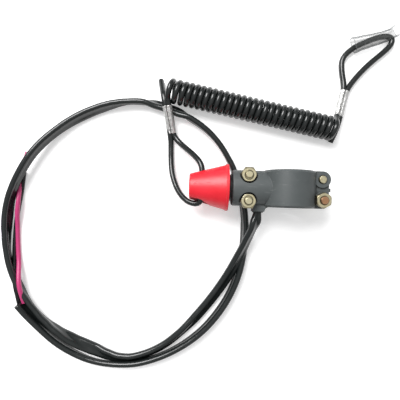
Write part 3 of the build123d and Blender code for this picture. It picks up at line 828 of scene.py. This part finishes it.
# %% [markdown]
# ### Clear vinyl
# A thin clear wall is nearly invisible where it is looked through and grey where it is
# looked along. Glass that bends the light would need many bounces to show this. The alpha
# does it directly: it grows with the angle of the surface, and a few faint clouds of
# handling marks are added.

# %% Clear tube finish
def clear_vinyl():
    """A wall that is clear when seen square on, and grey when seen along."""
    finish = Finish("clear_vinyl_wall", Base_Color=rgb(0.22, 0.23, 0.23), Roughness=0.08,
                    IOR=1.5)
    steep = finish.node("ShaderNodeLayerWeight", inputs={"Blend": 0.5}, output="Facing")
    marks = finish.span(finish.noise(320.0, detail=4), 0.55, 0.8, to_high=0.07)
    finish.set(Alpha=finish.span(steep, 0.16, 0.7, 0.05, 0.75) + marks)
    relief(finish, finish.noise(260.0, detail=2), depth=0.2)
    return finish.material


vinyl_tube.data.materials.append(clear_vinyl())
print("clear tube finished")

# %% [markdown]
# ## The housing
# The two halves are moulded in a black glass-filled plastic that looks slate grey in the
# light. It has a fine even grain from the mould, edges painted lighter as rubbed wear and as a
# highlight, painted shade in its corners, and short scuffs from handling. A painted picture
# could show them, but a pattern made of noise has no seams, and one function then serves the
# neck and the rubber gland as well.

# %% Moulded black plastic
def moulded(name, colour, edge_lit_rubbed, rough):
    """Grained black plastic or rubber, paler at its edges as rubbed wear and as a painted
    highlight, with painted shade in its corners.
    """
    finish = Finish(name, Specular_IOR_Level=0.42)
    edges = edge_mask(finish, radius=0.35)
    corner_shade = corner_mask(finish, reach=1.6)
    cloud = finish.span(finish.noise(90.0, detail=4), 0.35, 0.7, to_high=0.3)
    scuffs = streaks(finish, (140.0, 900.0, 400.0), 0.62, 0.74, top=0.3, detail=4)
    # Rubbed wear and scuffs, with the edges also painted paler as a highlight
    wear_and_edge_light = finish.maths("MINIMUM", edges * (0.45 + cloud) + scuffs + cloud * 0.35, 1.0)
    worn_and_edge_lit = finish.mixed(wear_and_edge_light, colour, edge_lit_rubbed)
    # The corners are painted darker as shade
    finish.set(Base_Color=finish.mixed(corner_shade * 0.8, worn_and_edge_lit, rgb(0.004, 0.004, 0.004)))
    finish.set(Roughness=rough + cloud * 0.2 - edges * 0.08)
    grain = finish.noise(2600.0, detail=2) + finish.noise(700.0, detail=2) * 0.6
    relief(finish, grain, depth=0.05, normal=soft_normal(finish, radius=0.3))
    return finish.material


housing_plastic = moulded("housing_plastic", rgb(0.066, 0.075, 0.076), rgb(0.18, 0.19, 0.19),
                          rough=0.46)
bushing_plastic = moulded("bushing_plastic", rgb(0.018, 0.018, 0.02), rgb(0.06, 0.06, 0.062),
                          rough=0.42)
print("housing finished")

# %% [markdown]
# ## Screws and nuts
# The bolts and nuts are zinc plated and passivated, which gives a pale brass tint. The faces
# are blotchy, and the tip of one ear bolt has lost its plating and rusted to a coppery brown.
# The chamfer and the gap round the bolt are painted dark as shade, the corners are painted
# darker as shade too, and the edges are painted paler as a highlight. The rings of painted
# shade come from the distance to each bolt's middle, because a corner mask is too soft on
# parts this small. The threads are fine ridges at the pitch of an M4 bolt.

# %% Plated steel
THREAD_PITCH = 0.7
NUTS_AT = [(-21.8, 6.21), (-21.8, -6.21), (15.1, -5.2), (15.1, 5.2)]
GAP_R, GAP_CORE, GAP_HALF = 2.12, 0.12, 0.38
CHAMFER_R, CHAMFER_END = 3.3, 3.65
WORN_FROM, WORN_WHOLLY, WORN_RAGGED = 9.65, 10.1, 0.5


def off_bolts(finish):
    """The distance in metres from the nearest nut's middle, seen from above."""
    across, along, _ = finish.axes()
    nearest = None
    for x, y in NUTS_AT:
        off_x, off_y = across - x * MM, along - y * MM
        away = finish.maths("SQRT", off_x * off_x + off_y * off_y)
        nearest = finish.maths("MINIMUM", nearest, away) if nearest else away
    return nearest


def plated(name, colour, stain, tip=None):
    """Blotchy zinc plate with painted shade in its gaps and corners, a painted highlight on its
    edges, and a bare tip where one is given.
    """
    finish = Finish(name, Metallic=1.0)
    away = off_bolts(finish)
    # Rings of painted shade at the gap round the bolt and at the chamfer
    off_gap = finish.maths("ABSOLUTE", away - GAP_R * MM)
    gap_shade = finish.span(off_gap, GAP_CORE * MM, GAP_HALF * MM, to_low=1.0, to_high=0.0)
    chamfer_shade = finish.span(away, CHAMFER_R * MM, CHAMFER_END * MM)
    ring_shade = finish.maths("MAXIMUM", gap_shade * 0.85, chamfer_shade * 0.6)
    edges = edge_mask(finish, radius=0.22)
    corner_shade = corner_mask(finish, reach=1.7)
    blotches = finish.span(finish.noise(650.0, detail=4), 0.42, 0.68)
    plate = finish.mixed(blotches * 0.55, colour, stain)
    _, _, height = finish.axes()
    if tip:
        ragged = height + finish.noise(900.0, detail=2) * (WORN_RAGGED * MM)
        bare = finish.span(ragged, WORN_FROM * MM, WORN_WHOLLY * MM)
        plate = finish.mixed(bare, plate, tip)
    # The edges are painted paler as a highlight
    plate = finish.mixed(edges * 0.4, plate, rgb(0.92, 0.88, 0.76))
    # Painted shade in the corners and in the rings
    painted_shade = finish.maths("MAXIMUM", corner_shade * 0.9, ring_shade)
    finish.set(Base_Color=finish.mixed(painted_shade, plate, rgb(0.05, 0.038, 0.02)))
    finish.set(Roughness=0.3 + blotches * 0.16 + corner_shade * 0.2)
    thread = ridges(finish, height, THREAD_PITCH) * 0.5
    grain = finish.noise(1800.0, detail=2) * 0.5
    relief(finish, thread + grain, depth=0.05, normal=soft_normal(finish, radius=0.18))
    return finish.material


zinc_plate = plated("zinc_plate", rgb(0.74, 0.68, 0.46), rgb(0.34, 0.27, 0.13))
worn_zinc = plated("worn_zinc", rgb(0.74, 0.66, 0.46), rgb(0.38, 0.26, 0.13),
                   tip=rgb(0.50, 0.27, 0.15))
print("fasteners finished")

# %% [markdown]
# ## The red cap
# The pull cap is moulded in a bright red plastic with a satin skin, so the lamp leaves a
# broad soft light on it. The rim is painted paler, partly as a highlight and partly as knocked
# wear, and the hole that the cord runs through and the other corners are painted darker as
# shade. One roughness all over would look like fresh paint, so it follows slow clouds and
# fine scratches along the cap.

# %% Moulded red plastic
def moulded_red():
    """Satin red plastic, its rim painted paler as a highlight and as knocked wear, its corners
    painted darker as shade.
    """
    finish = Finish("moulded_red", Specular_IOR_Level=0.62)
    edges = edge_mask(finish, radius=0.4)
    corner_shade = corner_mask(finish, reach=2.2)
    cloud = finish.span(finish.noise(120.0, detail=4), 0.3, 0.7)
    skin = finish.mixed(cloud, rgb(0.68, 0.005, 0.017), rgb(0.76, 0.009, 0.026))
    # The edges are painted paler, as a highlight and as knocked wear
    edge_lit_rubbed = finish.mixed(edges * 0.5, skin, rgb(0.84, 0.10, 0.11))
    # The corners and the cord's hole are painted darker as shade
    finish.set(Base_Color=finish.mixed(corner_shade * 0.75, edge_lit_rubbed, rgb(0.10, 0.0, 0.004)))
    scratches = streaks(finish, (150.0, 1300.0, 1300.0), 0.58, 0.66)
    finish.set(Roughness=0.40 + cloud * 0.06 + scratches * 0.1)
    grain = finish.noise(500.0, detail=3) - scratches * 0.12
    relief(finish, grain, depth=0.045, normal=soft_normal(finish, radius=0.35))
    return finish.material


red_plastic = moulded_red()
print("cap finished")

# %% [markdown]
# ## The switch's inside
# These pieces show only when the cap is off or the model is taken apart, and each is what a
# switch maker would use: a turned acetal plunger, a spring and clip of drawn steel, stamped
# brass contacts on a brown phenolic disc, copper strands and a moulded rubber gland. Each
# finish shows the marks that its making leaves, rings or lines or fibres, at their real size.

# %% Turned plastic
LATHE_PITCH = 0.35


def turned_acetal():
    """White plastic with the fine rings that a lathe leaves, and painted shade in its corners."""
    finish = Finish("turned_acetal", Specular_IOR_Level=0.45, Subsurface_Weight=0.05)
    along, _, _ = finish.axes()
    rings = ridges(finish, along, LATHE_PITCH)
    # The corners are painted darker as shade
    painted_shade = corner_mask(finish, reach=1.0)
    finish.set(Base_Color=finish.mixed(painted_shade * 0.7, rgb(0.78, 0.77, 0.71), rgb(0.22, 0.20, 0.16)))
    finish.set(Roughness=0.34 + finish.noise(800.0) * 0.12)
    relief(finish, rings, depth=0.012, normal=soft_normal(finish, radius=0.15))
    return finish.material


acetal = turned_acetal()
print("plunger finished")

# %% Metal that was drawn or stamped
def drawn_metal(name, colour, stain, grain, rough):
    """Wire, strip or strands, with fine lines along one direction and a little tarnish."""
    finish = Finish(name, Metallic=1.0)
    lines = finish.noise(1.0, vector=stretched(finish, grain))
    tarnish = finish.span(finish.noise(300.0, detail=4), 0.45, 0.75)
    spots = finish.maths("MINIMUM", tarnish * 0.6 + corner_mask(finish, reach=0.8) * 0.5, 1.0)
    finish.set(Base_Color=finish.mixed(spots, colour, stain))
    finish.set(Roughness=rough + lines * 0.16)
    relief(finish, lines, depth=0.03, normal=soft_normal(finish, radius=0.1))
    return finish.material


spring_steel = drawn_metal("spring_steel", rgb(0.56, 0.56, 0.57), rgb(0.2, 0.17, 0.14),
                           grain=(3000.0, 500.0, 500.0), rough=0.26)
stamped_brass = drawn_metal("stamped_brass", rgb(0.78, 0.57, 0.26), rgb(0.3, 0.17, 0.07),
                            grain=(900.0, 3500.0, 300.0), rough=0.28)
copper_strand = drawn_metal("copper_strand", rgb(0.80, 0.40, 0.23), rgb(0.28, 0.10, 0.05),
                            grain=(300.0, 5000.0, 5000.0), rough=0.3)
print("spring, contacts and cores finished")

# %% Laminate and rubber
def phenolic():
    """Brown laminate with darker fibres."""
    finish = Finish("phenolic_laminate", Specular_IOR_Level=0.45)
    fibres = streaks(finish, (4000.0, 900.0, 250.0), 0.4, 0.65, detail=4)
    finish.set(Base_Color=finish.mixed(fibres, rgb(0.30, 0.15, 0.06), rgb(0.13, 0.06, 0.025)))
    finish.set(Roughness=0.38 + fibres * 0.14)
    relief(finish, fibres, depth=0.02, normal=soft_normal(finish, radius=0.1))
    return finish.material


laminate = phenolic()
gland_rubber = moulded("gland_rubber", rgb(0.014, 0.014, 0.015), rgb(0.035, 0.035, 0.036),
                       rough=0.58)
print("disc and gland finished")

# %% [markdown]
# ## Dressing the CAD pieces
# A CAD piece whose shape is right keeps its mesh and only changes the material in its slots.
# One table says which finish goes where, so that a piece is easy to find and change.

# %% Finishes on the CAD pieces
NODE_FINISH = {
    housing_plastic: ["upper_housing", "lower_housing"],
    zinc_plate: ["barrel_screws", "barrel_nuts", "ear_screw_loose", "ear_nut"],
    worn_zinc: ["ear_screw_tight"],
    bushing_plastic: ["plunger_bushing"],
    acetal: ["plunger"],
    spring_steel: ["return_spring", "plunger_clip"],
    laminate: ["contact_carrier"],
    stamped_brass: ["contact_pink", "contact_black", "contact_bridge"],
    copper_strand: ["core_pink", "core_black"],
    gland_rubber: ["cable_gland"],
    red_plastic: ["pull_cap"],
}
for material, names in NODE_FINISH.items():
    for name in names:
        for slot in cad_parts[name].material_slots:
            slot.material = material
print("finishes on", sum(len(names) for names in NODE_FINISH.values()), "CAD pieces")

# %% [markdown]
# ## The end

# %% The end
print("scene dressed")
